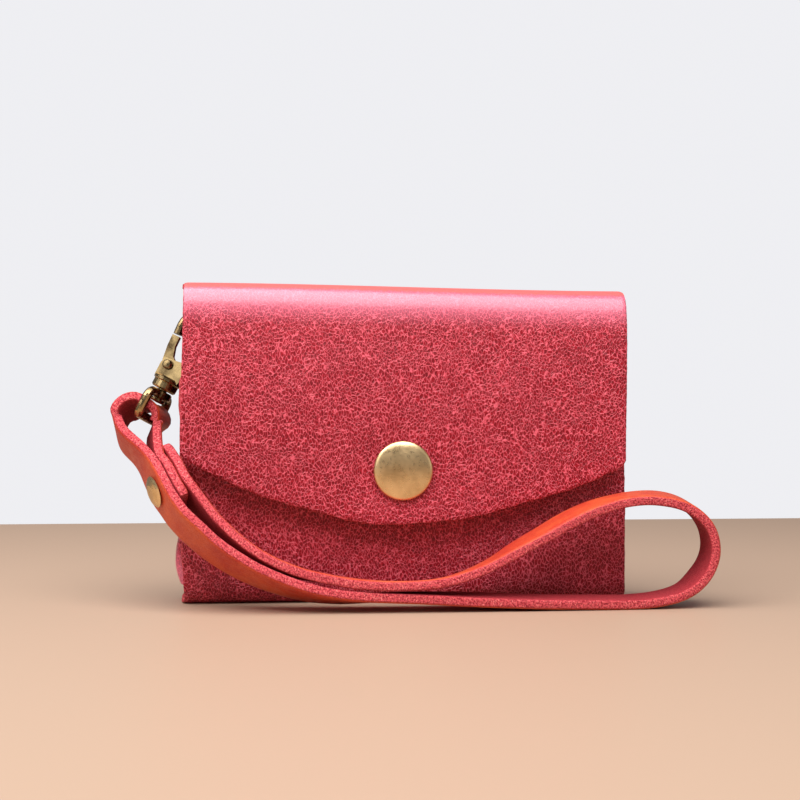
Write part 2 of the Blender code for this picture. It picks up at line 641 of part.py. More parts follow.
def strap_stations(eye_bar):
    """The strap's whole course: one tail, the eye, the outer leg, the loop and the other tail."""
    def split(rows):
        return [Vector(place) for place, _ in rows], [Vector(side) for _, side in rows]

    leg_points, leg_sides = split(OUTER_LEG)
    dense_points = smooth_path(leg_points, 2)
    dense_sides = smooth_path(leg_sides, 2)
    along = tangents(dense_points)

    def layer(index, step):
        across = dense_sides[index]
        across = (across - across.dot(along[index]) * along[index]).normalized()
        normal = across.cross(along[index])
        return dense_points[index] - step * normal, dense_sides[index]

    tail = [layer(i, LAYER_STEP) for i in NEAR_TAIL]
    far_tail = [layer(i, 2 * LAYER_STEP) for i in FAR_TAIL]
    turn = [(eye_bar + Vector(place), Vector(side)) for place, side in EYE_TURN]
    rest = [(Vector(place), Vector(side)) for place, side in OUTER_LEG + LOWER_RUN + UPPER_LEG]
    course = tail + turn + rest + far_tail
    points = smooth_path([p for p, _ in course], 3)
    sides = smooth_path([s.normalized() for _, s in course], 3)
    return points, sides


def rivet_frame(origin):
    """The strap rivet's frame, from the origin given: its Z axis points out of the outer leg."""
    seat = Vector(OUTER_LEG[RIVET_STATION][0])
    before = Vector(OUTER_LEG[RIVET_STATION - 1][0])
    after = Vector(OUTER_LEG[RIVET_STATION + 1][0])
    along = (after - before).normalized()
    across = Vector(OUTER_LEG[RIVET_STATION][1])
    across = (across - across.dot(along) * along).normalized()
    out = across.cross(along)
    turn = Matrix((along, out.cross(along), out)).transposed().to_4x4()
    return Matrix.Translation(seat - origin) @ turn


def strap_rivet(frame, axis):
    """The rivet's cap on the outer layer and its base behind the innermost one."""
    top = STRAP_LEATHER / 2
    deep = -2 * LAYER_STEP - STRAP_LEATHER / 2
    join = top - 2.0
    cap = [(0, top + 1.6), (2.0, top + 1.45), (3.4, top + 0.95), (4.0, top + 0.45)]
    cap += [(3.8, top + GAP), (1.5, top + GAP), (1.5, join), (0, join)]
    link_body("strap_rivet_cap", turned(cap, 28, frame), brass, axis)
    base = [(0, deep - 1.1), (2.6, deep - 1.0), (3.2, deep - 0.7), (3.2, deep - GAP)]
    base += [(1.5, deep - GAP), (1.5, join - GAP), (0, join - GAP)]
    link_body("strap_rivet_base", turned(base, 28, frame), brass, axis)


def wrist_strap():
    eye_bar = CLASP_SEAT + EYE_BAR_Z * CLASP_AXIS
    points, sides = strap_stations(eye_bar)
    axis = axis_empty("strap_axis", eye_bar)
    strip = ribbon([point - eye_bar for point in points], sides, STRAP_WIDTH, STRAP_LEATHER)
    strap = link_body("wrist_strap", strip, strap_leather, axis)
    frame = rivet_frame(eye_bar)
    depth = 3 * LAYER_STEP + 3
    hole = turned([(RIVET_HOLE_RADIUS, -depth), (RIVET_HOLE_RADIUS, STRAP_LEATHER + 2)], 20, frame)
    cut(strap, helper("strap_rivet_hole", hole, axis))
    strap_rivet(frame, axis)


def build():
    clear_scene()
    back_panel()
    bottom_fold()
    front_panel()
    gusset("left_gusset", -1, 0)
    gusset("right_gusset", 1, 1)
    snap_fastener(flap(top_strip()))
    d_ring()
    ring_tab()
    hook_axis = axis_empty("hook_axis", CLASP_SEAT, clasp_frame())
    clasp_body(hook_axis)
    gate_spring(hook_axis)
    clasp_gate(hook_axis)
    swivel_pin(hook_axis)
    swivel_eye(hook_axis)
    wrist_strap()


build()
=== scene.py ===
"""The looks of the leather wristlet wallet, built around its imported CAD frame.

Lengths are in millimetres until MM scales them; the frame is in metres. X runs to the right as
one looks at the flap, which faces -Y, and +Z is up.
"""

import math

import bpy
import numpy as np
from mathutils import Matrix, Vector, noise


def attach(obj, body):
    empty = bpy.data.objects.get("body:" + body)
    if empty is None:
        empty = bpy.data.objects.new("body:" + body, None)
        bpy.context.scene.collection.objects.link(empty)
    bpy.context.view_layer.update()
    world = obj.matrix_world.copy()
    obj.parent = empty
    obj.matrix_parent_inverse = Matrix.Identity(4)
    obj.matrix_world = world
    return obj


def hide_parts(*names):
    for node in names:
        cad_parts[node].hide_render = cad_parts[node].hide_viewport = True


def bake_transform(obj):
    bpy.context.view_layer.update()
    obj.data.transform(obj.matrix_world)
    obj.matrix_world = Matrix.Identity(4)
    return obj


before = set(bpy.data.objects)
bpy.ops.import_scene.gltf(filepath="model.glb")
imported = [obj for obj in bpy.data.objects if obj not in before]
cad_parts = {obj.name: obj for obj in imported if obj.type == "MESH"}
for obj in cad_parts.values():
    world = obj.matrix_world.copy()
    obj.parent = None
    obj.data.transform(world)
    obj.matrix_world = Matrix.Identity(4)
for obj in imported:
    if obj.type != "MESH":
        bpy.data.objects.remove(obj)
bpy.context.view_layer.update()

MM = 0.001
LEATHER = 1.5
STRAP_WIDTH = 12.0
STRAP_LEATHER = 2.5
LAYER_STEP = 2.7
EYE_BAR = (-66.36, -1.54, 47.17)

# The strap's route: the middle of its thickness and width, then the direction across its width,
# from the near edge to the far one. Only at the eye, in EYE_TURN and OUTER_LEG's first two
# stations, does it differ from the CAD's.
OUTER_LEG = (
    ((-73.3, -1.7, 46.9), (0.08, 0.90, -0.42)),
    ((-73.2, -2.7, 44.5), (0.02, 0.90, -0.44)),
    ((-72.0, -4.4, 41.8), (0.01, 0.87, -0.50)),
    ((-69.3, -6.4, 39.2), (0.08, 0.81, -0.58)),
    ((-67.1, -8.8, 36.8), (0.04, 0.75, -0.66)),
    ((-65.3, -11.4, 34.3), (-0.03, 0.68, -0.74)),
    ((-63.6, -14.5, 31.8), (-0.09, 0.67, -0.73)),
    ((-62.3, -16.5, 29.6), (-0.13, 0.73, -0.67)),
    ((-60.7, -18.2, 27.2), (-0.12, 0.78, -0.62)),
    ((-58.9, -19.8, 24.6), (-0.13, 0.81, -0.57)),
    ((-56.5, -21.0, 21.8), (-0.15, 0.84, -0.52)),
    ((-53.7, -21.7, 19.2), (-0.21, 0.86, -0.46)),
    ((-49.6, -22.0, 15.6), (-0.20, 0.88, -0.43)),
    ((-44.2, -22.8, 12.0), (-0.15, 0.89, -0.42)),
    ((-38.6, -23.3, 9.0), (-0.13, 0.92, -0.38)),
    ((-32.2, -23.4, 6.4), (-0.11, 0.93, -0.34)),
    ((-25.2, -23.4, 4.4), (-0.07, 0.95, -0.29)),
)
LOWER_RUN = (
    ((-17.5, -23.2, 3.4), (-0.03, 0.98, -0.22)),
    ((-8.9, -23.1, 3.2), (-0.01, 0.99, -0.12)),
    ((3.3, -23.0, 2.9), (-0.01, 1.00, -0.05)),
    ((15.6, -22.9, 2.4), (-0.01, 1.00, 0.00)),
    ((30.5, -22.7, 1.7), (-0.02, 1.00, 0.00)),
    ((45.5, -22.4, 1.4), (-0.02, 1.00, 0.00)),
    ((55.5, -22.1, 1.3), (-0.03, 1.00, -0.00)),
    ((63.2, -21.8, 2.1), (-0.04, 1.00, -0.01)),
    ((68.8, -21.6, 4.0), (-0.03, 1.00, -0.02)),
    ((72.5, -21.4, 7.4), (-0.05, 1.00, -0.00)),
    ((74.8, -21.3, 11.2), (-0.01, 1.00, -0.02)),
    ((75.5, -21.2, 15.2), (0.03, 1.00, -0.02)),
    ((74.5, -21.1, 19.6), (0.05, 1.00, 0.01)),
    ((71.7, -21.1, 23.3), (0.05, 1.00, 0.06)),
    ((67.5, -21.1, 25.9), (0.03, 1.00, 0.08)),
    ((62.5, -21.1, 27.1), (0.00, 1.00, 0.08)),
)
UPPER_LEG = (
    ((57.0, -21.2, 27.2), (-0.03, 1.00, 0.04)),
    ((51.0, -21.4, 26.3), (-0.05, 1.00, 0.02)),
    ((44.6, -21.8, 24.5), (-0.07, 1.00, 0.03)),
    ((38.3, -22.1, 21.7), (-0.07, 1.00, 0.04)),
    ((32.1, -22.4, 18.2), (-0.06, 1.00, 0.02)),
    ((25.9, -22.7, 14.8), (-0.03, 1.00, -0.01)),
    ((19.9, -22.9, 11.3), (-0.00, 1.00, -0.07)),
    ((13.8, -23.1, 8.6), (0.01, 0.99, -0.11)),
    ((7.2, -23.3, 6.7), (0.02, 0.99, -0.13)),
    ((-0.3, -23.3, 6.0), (0.01, 0.99, -0.13)),
    ((-7.5, -23.2, 6.1), (0.01, 0.99, -0.12)),
    ((-14.8, -23.0, 6.7), (0.02, 0.99, -0.10)),
    ((-21.4, -22.7, 7.8), (0.04, 0.99, -0.12)),
    ((-27.4, -22.3, 9.1), (0.04, 0.99, -0.16)),
    ((-32.8, -22.0, 10.8), (0.03, 0.97, -0.22)),
    ((-37.7, -21.5, 12.9), (0.01, 0.96, -0.29)),
    ((-42.3, -20.8, 15.5), (-0.03, 0.93, -0.37)),
    ((-46.3, -19.8, 18.7), (-0.05, 0.90, -0.43)),
    ((-49.8, -18.4, 22.0), (-0.07, 0.88, -0.47)),
)
EYE_TURN = (
    ((1.9, -0.9, -3.8), (-0.18, 0.94, -0.26)),
    ((3.5, -0.2, -1.2), (0.18, 0.96, -0.19)),
    ((3.1, 0.0, 1.2), (0.25, 0.95, -0.19)),
    ((1.6, 0.0, 2.6), (0.25, 0.95, -0.20)),
    ((-0.4, 0.0, 3.3), (0.22, 0.93, -0.26)),
    ((-2.4, 0.0, 3.5), (0.20, 0.90, -0.38)),
    ((-4.6, 0.0, 2.7), (0.18, 0.88, -0.44)),
    ((-6.3, -0.1, 1.2), (0.16, 0.89, -0.42)),
)


# ---------------------------------------------------------------- camera, light and stage

CAMERA_AZIMUTH = -5.5
CAMERA_DISTANCE, CAMERA_HEIGHT = 0.42, 0.055
CAMERA_AIM = (-0.0012, 0.0, 0.0517)
CAMERA_LENS, CAMERA_SENSOR = 72.44, 36.0
FLOOR_SIDE, FLOOR_NEAR, FLOOR_FAR = 1.6, -1.4, 0.24
FLOOR_COLOUR = (0.41, 0.285, 0.195, 1.0)


def make_camera():
    data = bpy.data.cameras.new("camera")
    camera = bpy.data.objects.new("camera", data)
    bpy.context.scene.collection.objects.link(camera)
    azimuth = math.radians(CAMERA_AZIMUTH)
    data.sensor_width = CAMERA_SENSOR
    data.lens = CAMERA_LENS
    camera.location = (CAMERA_DISTANCE * math.sin(azimuth), -CAMERA_DISTANCE * math.cos(azimuth),
                       CAMERA_HEIGHT)
    aim = Vector(CAMERA_AIM) - camera.location
    camera.rotation_euler = aim.to_track_quat("-Z", "Y").to_euler()
    bpy.context.scene.camera = camera


def area_light(name, place, aim, size, power, colour):
    data = bpy.data.lights.new(name, "AREA")
    data.shape = "RECTANGLE"
    data.size, data.size_y = size
    data.energy = power
    data.color = colour
    lamp = bpy.data.objects.new(name, data)
    bpy.context.scene.collection.objects.link(lamp)
    lamp.location = place
    lamp.rotation_euler = (Vector(aim) - lamp.location).to_track_quat("-Z", "Y").to_euler()


def make_world():
    """A white surround; what the camera sees of it is brighter than the light it gives."""
    world = bpy.data.worlds.new("studio")
    world.use_nodes = True
    nodes, links = world.node_tree.nodes, world.node_tree.links
    seen = nodes["Background"]
    seen.inputs["Color"].default_value = (0.86, 0.86, 0.89, 1.0)
    given = nodes.new("ShaderNodeBackground")
    given.inputs["Color"].default_value = (0.95, 0.95, 1.0, 1.0)
    given.inputs["Strength"].default_value = 0.24
    chosen = nodes.new("ShaderNodeMixShader")
    links.new(nodes.new("ShaderNodeLightPath").outputs["Is Camera Ray"], chosen.inputs[0])
    links.new(given.outputs[0], chosen.inputs[1])
    links.new(seen.outputs[0], chosen.inputs[2])
    links.new(chosen.outputs[0], nodes["World Output"].inputs["Surface"])
    bpy.context.scene.world = world


def make_stage():
    make_world()
    bpy.context.scene.view_settings.view_transform = "Standard"
    area_light("top_softbox", place=(-0.12, -0.22, 0.54), aim=(0, -0.03, 0.05), size=(0.90, 0.56),
               power=9.5, colour=(1.0, 0.97, 1.0))
    area_light("front_softbox", place=(-0.50, -0.50, 0.34), aim=(0, 0, 0.04), size=(0.30, 0.40),
               power=0.7, colour=(1.0, 0.98, 0.96))
    area_light("right_fill", place=(0.60, -0.35, 0.20), aim=(0, 0, 0.04), size=(0.30, 0.30),
               power=0.25, colour=(1.0, 0.97, 0.94))
    mesh = bpy.data.meshes.new("floor")
    corners = [(-FLOOR_SIDE, FLOOR_NEAR, 0.0), (FLOOR_SIDE, FLOOR_NEAR, 0.0),
               (FLOOR_SIDE, FLOOR_FAR, 0.0), (-FLOOR_SIDE, FLOOR_FAR, 0.0)]
    mesh.from_pydata(corners, [], [(0, 1, 2, 3)])
    floor = bpy.data.objects.new("floor", mesh)
    bpy.context.scene.collection.objects.link(floor)
    look = bpy.data.materials.new("pale_floor")
    look.use_nodes = True
    shader = look.node_tree.nodes["Principled BSDF"]
    shader.inputs["Base Color"].default_value = FLOOR_COLOUR
    shader.inputs["Roughness"].default_value = 0.5
    mesh.materials.append(look)


# ---------------------------------------------------------------- materials

class Graph:
    """A material's nodes; a call adds one node and returns it."""

    def __init__(self, name):
        self.material = bpy.data.materials.new(name)
        self.material.use_nodes = True
        self.tree = self.material.node_tree
        self.shader = self.tree.nodes["Principled BSDF"]

    def __call__(self, kind, inputs=None, **settings):
        made = self.tree.nodes.new("ShaderNode" + kind)
        for key, value in settings.items():
            setattr(made, key, value)
        for key, value in (inputs or {}).items():
            self.feed(made.inputs[key], value)
        return made

    def feed(self, socket, value):
        if isinstance(value, bpy.types.NodeSocket):
            self.tree.links.new(value, socket)
        elif socket.type == "RGBA" and len(value) == 3:
            socket.default_value = (*value, 1.0)
        else:
            socket.default_value = value

    def math(self, operation, first, second=0.0, third=0.0, clamp=False):
        return self("Math", {0: first, 1: second, 2: third}, operation=operation, use_clamp=clamp).outputs[0]

    def ramp(self, value, low, high, new_low=0.0, new_high=1.0):
        made = self("MapRange", {"Value": value, "From Min": low, "From Max": high,
                                 "To Min": new_low, "To Max": new_high}, interpolation_type="SMOOTHSTEP")
        return made.outputs["Result"]

    def mix(self, factor, first, second):
        made = self("Mix", data_type="RGBA")
        self.feed(made.inputs[0], factor)
        self.feed(made.inputs[6], first)
        self.feed(made.inputs[7], second)
        return made.outputs[2]

    def noise(self, vector, scale, detail=2.0, roughness=0.5):
        made = self("TexNoise", {"Vector": vector, "Scale": scale, "Detail": detail, "Roughness": roughness})
        return made.outputs["Fac"]

    def stretch(self, vector, scale, turn=0.0, shift=(0.0, 0.0, 0.0)):
        made = self("Mapping", {"Vector": vector, "Scale": scale, "Rotation": (0.0, 0.0, math.radians(turn)),
                                "Location": shift})
        return made.outputs["Vector"]

    def bump(self, height, distance, strength=1.0, normal=None):
        inputs = {"Height": height, "Distance": distance, "Strength": strength}
        if normal is not None:
            inputs["Normal"] = normal
        return self("Bump", inputs).outputs["Normal"]

    def set(self, **values):
        for key, value in values.items():
            self.feed(self.shader.inputs[key.replace("_", " ")], value)


def colour(r, g, b):
    return (r, g, b, 1.0)


EDGE_SPECK = colour(0.85, 0.22, 0.20)
# painted sheen: the salmon of light caught on the top fold's crest
PAINTED_FOLD_SHEEN = colour(0.85, 0.13, 0.11)
# painted highlight: the pale pink of the glossy band below the top fold
PAINTED_HIGHLIGHT_PINK = colour(0.86, 0.22, 0.34)


def object_millimetres(g):
    """Each point's place in its piece's own space."""
    place = g("TexCoord").outputs["Object"]
    return g("VectorMath", {0: place, "Scale": 1000.0}, operation="SCALE").outputs[0]


def centred_noise(g, vector, scale, amount, detail=2.0):
    """A noise vector from -amount / 2 to amount / 2."""
    made = g("TexNoise", {"Vector": vector, "Scale": scale, "Detail": detail}).outputs["Color"]
    made = g("VectorMath", {0: made, 1: (0.5, 0.5, 0.5)}, operation="SUBTRACT").outputs[0]
    return g("VectorMath", {0: made, "Scale": amount}, operation="SCALE").outputs[0]


def wrinkled_height(g, place, coarse, lean):
    """The height of fine ridges that join into a leaning net round small pits."""
    moved = place
    for drift in (centred_noise(g, place, 0.10, 4.0), centred_noise(g, place, 0.8, 0.5, 1.0)):
        moved = g("VectorMath", {0: moved, 1: drift}, operation="ADD").outputs[0]
    leaning = g.stretch(moved, (1.15, 0.72, 0.6), lean)
    cells = g("TexVoronoi", {"Vector": leaning, "Scale": coarse, "Randomness": 0.92},
              feature="DISTANCE_TO_EDGE").outputs["Distance"]
    ridge = g.ramp(cells, 0.0, 0.17, 1.0, 0.0)
    fine = g("TexVoronoi", {"Vector": moved, "Scale": coarse * 1.9, "Randomness": 1.0},
             feature="DISTANCE_TO_EDGE").outputs["Distance"]
    fine = g.ramp(fine, 0.0, 0.25, 1.0, 0.0)
    pits = g.noise(moved, coarse * 1.3, 2.0, 0.5)
    height = g.math("MULTIPLY_ADD", fine, 0.14, g.math("MULTIPLY", ridge, 0.74))
    return g.math("MULTIPLY_ADD", g.ramp(pits, 0.3, 0.65), 0.22, height)


def grain_colour(g, place, height, base, worn, pit_shade, ridge, painted_grain_light):
    """Two slowly changing tones, with painted shade darkening the grain's pits and a painted highlight
    lightening its ridges.
    """
    broad = g.noise(place, 0.03, 3.0, 0.55)
    middle = g.noise(place, 0.14, 3.0, 0.6)
    tone = g.math("MULTIPLY_ADD", middle, 0.45, g.math("MULTIPLY", broad, 0.55))
    shown = g.mix(g.ramp(tone, 0.38, 0.62), base, worn)
    # painted shade: the grain's low places are darkened towards the pit colour
    shown = g.mix(g.ramp(height, 0.05, 0.42, painted_grain_light, 0.0), shown, pit_shade)
    # painted highlight: the grain's high ridges are lightened towards the ridge colour
    return g.mix(g.ramp(height, 0.52, 0.98, 0.0, painted_grain_light * 0.95), shown, ridge)


def raw_edge(g, place, edge, edge_pit):
    """A cut edge's raw fibres, speckled and pitted: their colour and height."""
    fibre = g.noise(g.stretch(place, (1.0, 1.0, 2.4)), 2.3, 4.0, 0.65)
    speck = g.noise(place, 4.2, 3.0, 0.6)
    shown = g.mix(g.ramp(fibre, 0.40, 0.58), edge_pit, edge)
    shown = g.mix(g.ramp(speck, 0.56, 0.68), shown, EDGE_SPECK)
    return shown, g.math("MULTIPLY_ADD", speck, 0.5, g.math("MULTIPLY", fibre, 0.7))


def leather_material(name, base, pit_shade, ridge, worn, edge, edge_pit, flesh, depth_mm, coarse=1.0,
                     lean=-38.0, roughness=(0.34, 0.5), painted_grain_light=1.0, fold_wear_and_sheen=0.0, source="flat"):
    """Grain on the outside, a raw fibrous rim where it is cut, and suede on the inside.

    source says where the pattern lies: on a sheet's flat places or in the piece's own space.
    """
    g = Graph(name)
    if source == "flat":
        place = g("Attribute", attribute_name="flat").outputs["Vector"]
    else:
        place = object_millimetres(g)
    height = wrinkled_height(g, place, coarse, lean)
    shown = grain_colour(g, place, height, base, worn, pit_shade, ridge, painted_grain_light)
    rough = g.ramp(g.noise(place, 0.5, 3.0, 0.6), 0.3, 0.7, roughness[0], roughness[1])
    if source == "object":
        g.set(Base_Color=shown, Roughness=rough, Normal=g.bump(height, depth_mm * MM))
        return g.material
    split = g("SeparateXYZ", {0: place})
    along, depth = split.outputs["Y"], split.outputs["Z"]
    # the grain is stretched flatter where the top folds over, and its colour there is lifted to salmon: a
    # painted sheen for the light on the fold's curve
    fold = g.math("MULTIPLY_ADD", g.noise(place, 0.9, 4.0, 0.65), 2.4, along)
    fold = g.math("MULTIPLY", g.ramp(fold, 9.6, 11.2, 1.0, 0.0), g.ramp(fold, -4.0, 2.0))
    # painted sheen: the fold's crest is coloured salmon
    shown = g.mix(g.math("MULTIPLY", fold, fold_wear_and_sheen), shown, PAINTED_FOLD_SHEEN)
    edge_colour, edge_height = raw_edge(g, place, edge, edge_pit)
    nap = g.noise(place, 2.6, 4.0, 0.7)
    flesh_colour = g.mix(g.ramp(nap, 0.35, 0.65), edge_pit, flesh)
    wander = g.math("MULTIPLY_ADD", g.noise(place, 1.6, 3.0), 0.16, g.math("SUBTRACT", depth, 0.08))
    on_rim = g.ramp(wander, 0.03, 0.10)
    on_grain = g.math("SUBTRACT", 1.0, on_rim)
    shown = g.mix(on_rim, shown, edge_colour)
    shown = g.mix(g.ramp(wander, 0.90, 0.97), shown, flesh_colour)
    rough = g.math("MAXIMUM", rough, g.math("MULTIPLY", on_rim, 0.92))
    relief = g.math("MULTIPLY", height, on_grain)
    relief = g.math("MULTIPLY", relief, g.math("SUBTRACT", 1.0, g.math("MULTIPLY", fold, 0.7)))
    # just below the fold the grain is rubbed smooth and glossy, and its colour is lifted to pale pink as a
    # painted highlight band
    rubbed = g.math("MULTIPLY", g.ramp(along, 12.5, 20.0, 1.0, 0.0), g.ramp(along, -16.0, -8.0))
    rubbed = g.math("MULTIPLY", rubbed, fold_wear_and_sheen)
    smooth = g.math("MULTIPLY", rubbed, 1.05, clamp=True)
    relief = g.math("MULTIPLY", relief, g.math("SUBTRACT", 1.0, smooth))
    highlight_band = g.math("MULTIPLY", g.math("MULTIPLY", rubbed, g.math("SUBTRACT", 1.0, fold)), 0.55)
    # painted highlight: the band below the fold is coloured pale pink
    shown = g.mix(g.math("MULTIPLY", highlight_band, on_grain), shown, PAINTED_HIGHLIGHT_PINK)
    normal = g.bump(relief, depth_mm * MM)
    normal = g.bump(g.math("MULTIPLY", edge_height, on_rim), 0.34 * MM, 0.9, normal)
    g.set(Base_Color=shown, Roughness=rough, Normal=normal)
    g.set(Coat_Weight=g.math("MULTIPLY", on_grain, rubbed))
    g.shader.inputs["Coat Roughness"].default_value = 0.30
    g.shader.inputs["Specular IOR Level"].default_value = 0.32
    return g.material


def brass_material(name, bright=(0.60, 0.47, 0.25), dark=(0.10, 0.065, 0.03), wear=(0.35, 0.62),
                   roughness=(0.22, 0.42), brushed=(1.0, 1.0, 1.0)):
    """Antique brass: pale where it is rubbed, brown where the patina stays."""
    g = Graph(name)
    place = object_millimetres(g)
    patina = g.noise(place, 0.22, 2.0, 0.5)
    tone = g.mix(g.ramp(patina, wear[0], wear[1]), dark, bright)
    lines = g.noise(g.stretch(place, brushed), 1.6, 3.0, 0.6)
    tone = g.mix(g.ramp(lines, 0.35, 0.7, 0.0, 0.3), tone, bright)
    rough = g.ramp(g.noise(place, 1.1, 3.0, 0.6), 0.3, 0.7, roughness[0], roughness[1])
    g.set(Base_Color=tone, Roughness=rough, Normal=g.bump(lines, 0.012 * MM, 0.6))
    g.shader.inputs["Metallic"].default_value = 1.0
    return g.material


# ---------------------------------------------------------------- mesh helpers

def make_piece(name, points, faces, material, flat=None, sharp=50.0):
    """A mesh piece from points in millimetres; flat holds each point's place on the leather."""
    mesh = bpy.data.meshes.new(name)
    mesh.from_pydata((np.asarray(points) * MM).tolist(), [], [list(map(int, f)) for f in faces])
    mesh.shade_smooth()
    mesh.set_sharp_from_angle(angle=math.radians(sharp))
    if flat is not None:
        layer = mesh.attributes.new("flat", "FLOAT_VECTOR", "POINT")
        layer.data.foreach_set("vector", np.asarray(flat, np.float32).ravel())
    mesh.materials.append(material)
    obj = bpy.data.objects.new(name, mesh)
    bpy.context.scene.collection.objects.link(obj)
    return obj


def unit(rows):
    return rows / np.maximum(np.linalg.norm(rows, axis=-1, keepdims=True), 1e-9)


def graded(length, step, fine=(0.12, 0.3, 0.6, 1.0)):
    """Places from 0 to length, close together near both ends."""
    inner = np.linspace(fine[-1], length - fine[-1], max(2, round((length - 2 * fine[-1]) / step) + 1))
    return np.concatenate([[0.0], fine[:-1], inner, [length - f for f in fine[-2::-1]], [length]])


def catmull(points, steps):
    """Points along a Catmull-Rom curve through the given rows."""
    points = np.asarray(points, float)
    last = len(points) - 1
    rows = []
    for i in range(last):
        a, b, c, d = (points[min(max(i + k, 0), last)] for k in (-1, 0, 1, 2))
        for step in range(steps):
            t = step / steps
            rows.append(0.5 * (2 * b + (c - a) * t + (2 * a - 5 * b + 4 * c - d) * t ** 2
                               + (3 * b - a - 3 * c + d) * t ** 3))
    rows.append(points[last])
    return np.array(rows)


def along_curve(points, places):
    """Points at the given distances along a curve."""
    dense = catmull(points, 16)
    run = np.concatenate([[0.0], np.cumsum(np.linalg.norm(np.diff(dense, axis=0), axis=1))])
    return np.stack([np.interp(places, run, dense[:, k]) for k in range(dense.shape[1])], -1), run[-1]


def curve_length(points):
    return along_curve(points, [0.0])[1]


RIM_DEPTHS = (0.10, 0.28, 0.5, 0.72, 0.9)


NO_CUT_NEAR = 99.0


def run_lengths(outer, axis):
    """How far along its row or column each of the grid's points lies."""
    steps = np.linalg.norm(np.diff(outer, axis=axis), axis=2)
    start = np.zeros_like(steps.take([0], axis=axis))
    return np.concatenate([start, np.cumsum(steps, axis=axis)], axis=axis)


def cut_distance(outer, seams, joined):
    """How far each point is from the nearest side that is cut."""
    across, down = run_lengths(outer, 1), run_lengths(outer, 0)
    far = np.full(outer.shape[:2], NO_CUT_NEAR)
    sides = {"left": across, "right": across[:, -1:] - across, "top": down, "bottom": down[-1:] - down}
    for side, distance in sides.items():
        if side in seams:
            continue
        if joined is not None and side in ("left", "right"):
            distance = np.where(joined[:, None], NO_CUT_NEAR, distance)
        far = np.minimum(far, distance)
    return far


def border(rows, columns):
    """The rows and the columns of the grid's outermost points, once round."""
    loop = [(0, c) for c in range(columns)]
    loop += [(r, columns - 1) for r in range(1, rows)]
    loop += [(rows - 1, c) for c in range(columns - 2, -1, -1)]
    loop += [(r, 0) for r in range(rows - 2, 0, -1)]
    return np.array([r for r, _ in loop]), np.array([c for _, c in loop])


def leather_sheet(name, outer, flat, material, seams=(), thick=LEATHER, ragged=0.05, seed=1,
                  inner_shift=None, joined=None):
    """A closed leather piece from its grain side, a grid of rows by columns of points.

    seams names the sides, of top, bottom, left and right, where it is joined and not cut, and
    joined says of each row whether its two ends are.
    """
    rows, columns = outer.shape[:2]
    across = np.gradient(outer, axis=1)
    down = np.gradient(outer, axis=0)
    normal = unit(np.cross(across, down))
    right = unit(across)
    low = unit(np.cross(normal, right))
    inner = outer - thick * normal
    if inner_shift is not None:
        inner = inner + inner_shift
    # the grain rolls down a little at a cut edge
    far = cut_distance(outer, seams, joined)
    roll = np.exp(-(far / 0.35) ** 2)[..., None]
    grain = outer - 0.16 * roll * normal
    inner = inner + 0.10 * roll * normal
    loop_r, loop_c = border(rows, columns)
    random = np.random.default_rng(seed)
    out = np.zeros((len(loop_r), 3))
    cut = np.ones(len(loop_r))
    for side, mask, direction in (("top", loop_r == 0, -low), ("bottom", loop_r == rows - 1, low),
                                  ("left", loop_c == 0, -right), ("right", loop_c == columns - 1, right)):
        if side in seams:
            cut[mask] = 0.0
        else:
            out[mask] += direction[loop_r[mask], loop_c[mask]]
    if joined is not None:
        cut[joined[loop_r] & ((loop_c == 0) | (loop_c == columns - 1))] = 0.0
    out = unit(out) * cut[:, None]
    points = [grain.reshape(-1, 3), inner.reshape(-1, 3)]
    places = [np.concatenate([flat.reshape(-1, 2), np.zeros((rows * columns, 1))], 1),
              np.concatenate([flat.reshape(-1, 2), np.ones((rows * columns, 1))], 1)]
    start = grain[loop_r, loop_c]
    end = inner[loop_r, loop_c]
    loop_flat = flat[loop_r, loop_c]
    for k, depth in enumerate(RIM_DEPTHS):
        bulge = 0.16 * math.sin(math.pi * depth) ** 0.5
        rough = random.normal(0.0, ragged, (len(loop_r), 1))
        ring = start + depth * (end - start) + (bulge + rough) * out
        points.append(ring)
        places.append(np.concatenate([loop_flat, np.full((len(loop_r), 1), depth)], 1))
    size = rows * columns
    index = np.arange(size).reshape(rows, columns)
    a, b = index[:-1, :-1].ravel(), index[:-1, 1:].ravel()
    c, d = index[1:, 1:].ravel(), index[1:, :-1].ravel()
    faces = [np.stack([a, b, c, d], 1), np.stack([a, d, c, b], 1) + size]
    chain = [index[loop_r, loop_c]]
    chain += [2 * size + k * len(loop_r) + np.arange(len(loop_r)) for k in range(len(RIM_DEPTHS))]
    chain.append(index[loop_r, loop_c] + size)
    for first, second in zip(chain, chain[1:]):
        faces.append(np.stack([first, second, np.roll(second, -1), np.roll(first, -1)], 1))
    return make_piece(name, np.concatenate(points), np.concatenate(faces), material,
                      np.concatenate(places))


def lathe(name, profile, place, out, material, segments=72, wobble=0.0):
    """A round piece turned about an axis through place that points along out."""
    out = Vector(out).normalized()
    turn = out.to_track_quat("Z", "Y").to_matrix()
    rings = []
    for radius, height in profile:
        radius = max(radius, 0.01)
        rings.append([np.array(place) + np.array(turn @ Vector((
            radius * math.cos(math.tau * k / segments),
            radius * math.sin(math.tau * k / segments), height))) for k in range(segments)])
    points = np.array(rings).reshape(-1, 3)
    faces = []
    for i in range(len(rings) - 1):
        low, high = i * segments, (i + 1) * segments
        for k in range(segments):
            j = (k + 1) % segments
            faces.append((low + k, low + j, high + j, high + k))
    faces.append(tuple(range(segments))[::-1])
    faces.append(tuple(len(rings) * segments - segments + k for k in range(segments)))
    return make_piece(name, points, faces, material, sharp=60.0)


def bell(x, centre, width):
    return np.exp(-((x - centre) / width) ** 2)


def step_up(x, low, high):
    t = np.clip((x - low) / (high - low), 0.0, 1.0)
    return t * t * (3 - 2 * t)


